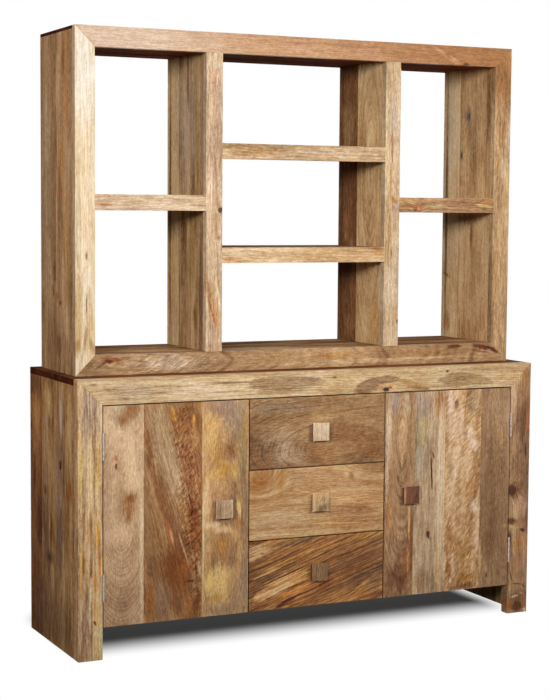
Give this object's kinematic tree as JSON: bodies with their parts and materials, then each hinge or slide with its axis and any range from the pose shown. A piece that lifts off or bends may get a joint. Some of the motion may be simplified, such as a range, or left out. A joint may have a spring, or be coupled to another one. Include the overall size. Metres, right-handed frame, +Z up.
{
  "type": "dresser with hutch",
  "caption": "Wooden dresser: inset doors either side of stacked drawers with square knobs, below an open-backed shelf hutch with a mitred front frame.",
  "frame": {"origin": "on the floor, below the middle of the whole dresser, knobs included", "axes": "+X to the right seen from the front, +Y to the back, +Z up"},
  "size_m": [1.45, 0.452, 1.722],
  "materials": {
    "mango_wood": "clear satin lacquer on mango wood",
    "mango_boards": "clear satin lacquer on edge-glued mango boards",
    "plywood": "plain plywood",
    "steel": "zinc-plated steel",
    "catch_body": "brown moulded plastic"
  },
  "bodies": {
    "carcass": {"base_top_rail": "mango_wood", "base_left_leg": "mango_wood", "base_right_leg": "mango_wood", "hutch_top_rail": "mango_wood", "hutch_bottom_rail": "mango_wood", "hutch_left_stile": "mango_wood", "hutch_right_stile": "mango_wood", "hutch_left_divider_strip": "mango_wood", "hutch_right_divider_strip": "mango_wood", "hutch_left_shelf_strip": "mango_wood", "hutch_right_shelf_strip": "mango_wood", "hutch_lower_shelf_strip": "mango_wood", "hutch_upper_shelf_strip": "mango_wood", "base_left_side": "mango_boards", "base_right_side": "mango_boards", "base_top_board": "mango_boards", "base_bottom_board": "mango_boards", "base_left_partition": "mango_boards", "base_right_partition": "mango_boards", "left_cupboard_shelf": "mango_boards", "right_cupboard_shelf": "mango_boards", "cupboard_shelf_cleats": "mango_boards", "drawer_runners": "mango_boards", "hutch_left_side": "mango_boards", "hutch_right_side": "mango_boards", "hutch_top_board": "mango_boards", "hutch_bottom_board": "mango_boards", "hutch_left_divider": "mango_boards", "hutch_right_divider": "mango_boards", "hutch_left_shelf": "mango_boards", "hutch_right_shelf": "mango_boards", "hutch_lower_shelf": "mango_boards", "hutch_upper_shelf": "mango_boards", "base_back_panel": "plywood", "frame_hinge_leaves": "steel", "hinge_pins": "steel", "hutch_brackets": "steel", "bracket_screws": "steel", "door_catches": "catch_body"},
    "left_door": {"left_door_boards": "mango_boards", "left_door_knob": "mango_wood", "left_door_hinge_leaves": "steel", "left_door_strike": "steel"},
    "right_door": {"right_door_boards": "mango_boards", "right_door_knob": "mango_wood", "right_door_hinge_leaves": "steel", "right_door_strike": "steel"},
    "drawer_1": {"drawer_1_front": "mango_boards", "drawer_1_box": "mango_boards", "drawer_1_bottom": "plywood", "drawer_1_knob": "mango_wood"},
    "drawer_2": {"drawer_2_front": "mango_boards", "drawer_2_box": "mango_boards", "drawer_2_bottom": "plywood", "drawer_2_knob": "mango_wood"},
    "drawer_3": {"drawer_3_front": "mango_boards", "drawer_3_box": "mango_boards", "drawer_3_bottom": "plywood", "drawer_3_knob": "mango_wood"}
  },
  "joints": [
    {"name": "left_door_hinge", "type": "hinge", "parent": "carcass", "child": "left_door", "pos_m": [-0.6535, -0.2068, 0.39], "axis": [0, 0, -1], "range_deg": [0, 150]},
    {"name": "right_door_hinge", "type": "hinge", "parent": "carcass", "child": "right_door", "pos_m": [0.6535, -0.2068, 0.39], "axis": [0, 0, 1], "range_deg": [0, 150]},
    {"name": "drawer_1_slide", "type": "slide", "parent": "carcass", "child": "drawer_1", "axis": [0, -1, 0], "range_m": [0, 0.26]},
    {"name": "drawer_2_slide", "type": "slide", "parent": "carcass", "child": "drawer_2", "axis": [0, -1, 0], "range_m": [0, 0.26]},
    {"name": "drawer_3_slide", "type": "slide", "parent": "carcass", "child": "drawer_3", "axis": [0, -1, 0], "range_m": [0, 0.26]}
  ]
}
